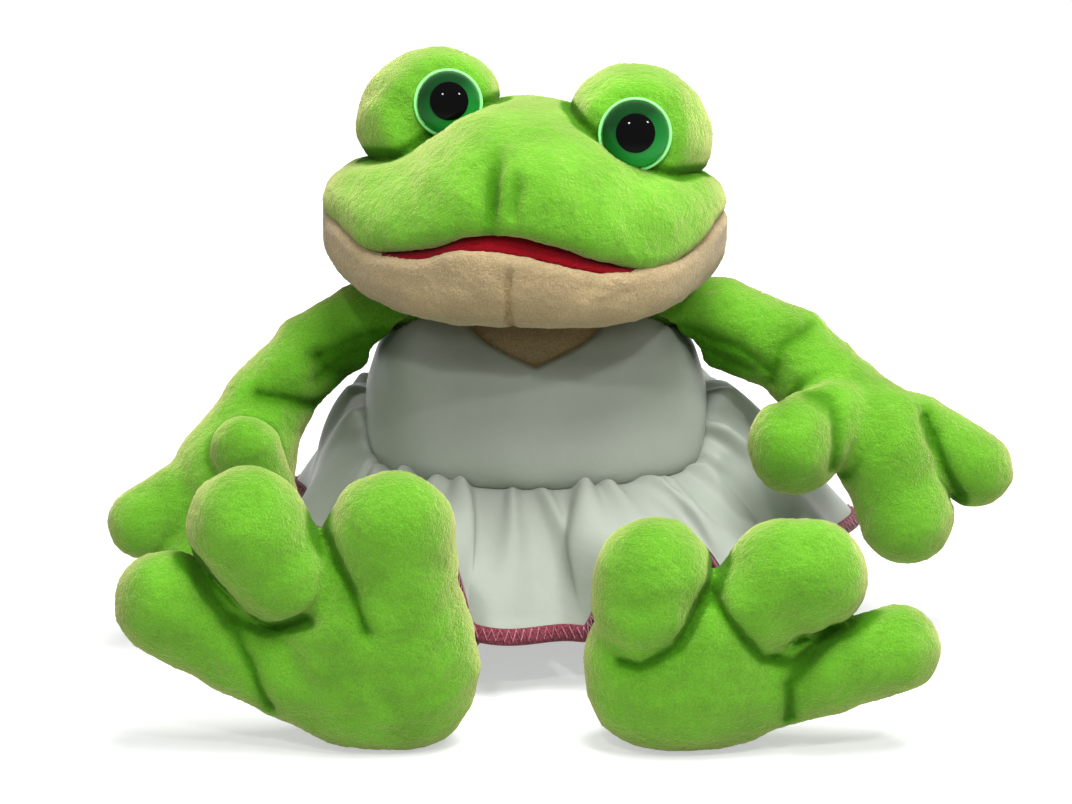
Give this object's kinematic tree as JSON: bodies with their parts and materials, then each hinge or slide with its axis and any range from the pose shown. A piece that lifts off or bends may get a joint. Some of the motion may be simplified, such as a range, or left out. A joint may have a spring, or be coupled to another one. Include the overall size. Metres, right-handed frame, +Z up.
{
  "type": "plush frog",
  "caption": "Stuffed plush frog sitting with its legs out in front, wide-mouthed, with safety eyes, in a white sleeveless dress with a gathered, overlocked skirt.",
  "frame": {"origin": "middle of the flat seat that the frog sits on, under the torso", "axes": "+Z up, -Y the way the frog faces, +X towards its own left hand"},
  "size_m": [0.329, 0.2455, 0.2163],
  "materials": {
    "green_plush": "short lime green plush pile",
    "beige_plush": "short beige plush pile",
    "white_satin": "white satin with soft folds",
    "maroon_thread": "maroon overlock thread",
    "red_lining": "red felt lining",
    "stuffing": "white fibre filling",
    "pellets": "cloth bag of pellets",
    "eye_green": "glossy dark green",
    "eye_black": "glossy black",
    "eye_ring": "light green",
    "washer_nylon": "dark nylon"
  },
  "bodies": {
    "torso": {"torso_skin": "green_plush", "chest_panel": "beige_plush", "torso_stuffing": "stuffing", "pellet_bag": "pellets", "dress_bodice": "white_satin", "dress_fastening": "white_satin", "dress_skirt": "white_satin", "skirt_hem": "maroon_thread"},
    "neck": {"neck": "green_plush"},
    "head": {"head_crown": "green_plush", "head_jaw": "beige_plush", "mouth_lining": "red_lining", "head_stuffing": "stuffing", "eye_mound_left": "green_plush", "eye_rim_left": "eye_ring", "eye_left": "eye_green", "pupil_left": "eye_black", "eye_washer_left": "washer_nylon", "eye_mound_right": "green_plush", "eye_rim_right": "eye_ring", "eye_right": "eye_green", "pupil_right": "eye_black", "eye_washer_right": "washer_nylon"},
    "shoulder_left": {"arm_root_left": "green_plush"},
    "arm_left": {"upper_arm_left": "green_plush"},
    "hand_left": {"hand_left": "green_plush", "finger_middle_left": "green_plush", "finger_thumb_left": "green_plush", "finger_outer_left": "green_plush"},
    "shoulder_right": {"arm_root_right": "green_plush"},
    "arm_right": {"upper_arm_right": "green_plush"},
    "hand_right": {"hand_right": "green_plush", "finger_middle_right": "green_plush", "finger_thumb_right": "green_plush", "finger_outer_right": "green_plush"},
    "hip_left": {"leg_root_left": "green_plush"},
    "leg_left": {"leg_left": "green_plush"},
    "foot_left": {"foot_left": "green_plush", "toe_inner_left": "green_plush", "toe_middle_left": "green_plush", "toe_outer_left": "green_plush"},
    "hip_right": {"leg_root_right": "green_plush"},
    "leg_right": {"leg_right": "green_plush"},
    "foot_right": {"foot_right": "green_plush", "toe_inner_right": "green_plush", "toe_middle_right": "green_plush", "toe_outer_right": "green_plush"}
  },
  "joints": [
    {"name": "head_nod", "type": "hinge", "parent": "torso", "child": "neck", "pos_m": [-0.003, -0.005, 0.123], "axis": [1, 0, 0], "range_deg": [-8, 6], "stiffness_Nm_per_rad": 0.8},
    {"name": "head_turn", "type": "hinge", "parent": "neck", "child": "head", "pos_m": [-0.003, -0.005, 0.123], "axis": [0, 0, -1], "range_deg": [-8, 12], "stiffness_Nm_per_rad": 0.8},
    {"name": "arm_raise_left", "type": "hinge", "parent": "torso", "child": "shoulder_left", "pos_m": [0.04016, 0, 0.118], "axis": [0, -1, 0], "range_deg": [-6, 6], "stiffness_Nm_per_rad": 0.25},
    {"name": "arm_swing_left", "type": "hinge", "parent": "shoulder_left", "child": "arm_left", "pos_m": [0.04016, 0, 0.118], "axis": [0, 0, 1], "range_deg": [-12, 20], "stiffness_Nm_per_rad": 0.25},
    {"name": "elbow_left", "type": "hinge", "parent": "arm_left", "child": "hand_left", "pos_m": [0.08624, -0.01213, 0.11218], "axis": [0, -1, 0], "range_deg": [-11, 18], "stiffness_Nm_per_rad": 0.15},
    {"name": "arm_raise_right", "type": "hinge", "parent": "torso", "child": "shoulder_right", "pos_m": [-0.04016, 0, 0.118], "axis": [0, 1, 0], "range_deg": [-6, 6], "stiffness_Nm_per_rad": 0.25},
    {"name": "arm_swing_right", "type": "hinge", "parent": "shoulder_right", "child": "arm_right", "pos_m": [-0.04016, 0, 0.118], "axis": [0, 0, -1], "range_deg": [-12, 20], "stiffness_Nm_per_rad": 0.25},
    {"name": "elbow_right", "type": "hinge", "parent": "arm_right", "child": "hand_right", "pos_m": [-0.08336, -0.01248, 0.1012], "axis": [0, 1, 0], "range_deg": [-11, 18], "stiffness_Nm_per_rad": 0.15},
    {"name": "leg_lift_left", "type": "hinge", "parent": "torso", "child": "hip_left", "pos_m": [0.03, -0.04266, 0.021], "axis": [-1, 0, 0], "range_deg": [0, 6], "stiffness_Nm_per_rad": 0.3, "deforming": ["dress_skirt", "skirt_hem"]},
    {"name": "leg_spread_left", "type": "hinge", "parent": "hip_left", "child": "leg_left", "pos_m": [0.03, -0.04266, 0.021], "axis": [0, 0, 1], "range_deg": [-4, 14], "stiffness_Nm_per_rad": 0.3},
    {"name": "foot_tip_left", "type": "hinge", "parent": "leg_left", "child": "foot_left", "pos_m": [0.05044, -0.10961, 0.021], "axis": [1, 0, 0], "range_deg": [-8, 8], "stiffness_Nm_per_rad": 0.2},
    {"name": "leg_lift_right", "type": "hinge", "parent": "torso", "child": "hip_right", "pos_m": [-0.03, -0.04266, 0.021], "axis": [-1, 0, 0], "range_deg": [0, 6], "stiffness_Nm_per_rad": 0.3},
    {"name": "leg_spread_right", "type": "hinge", "parent": "hip_right", "child": "leg_right", "pos_m": [-0.03, -0.04266, 0.021], "axis": [0, 0, -1], "range_deg": [-4, 14], "stiffness_Nm_per_rad": 0.3},
    {"name": "foot_tip_right", "type": "hinge", "parent": "leg_right", "child": "foot_right", "pos_m": [-0.05381, -0.10848, 0.021], "axis": [1, 0, 0], "range_deg": [-8, 8], "stiffness_Nm_per_rad": 0.2}
  ]
}
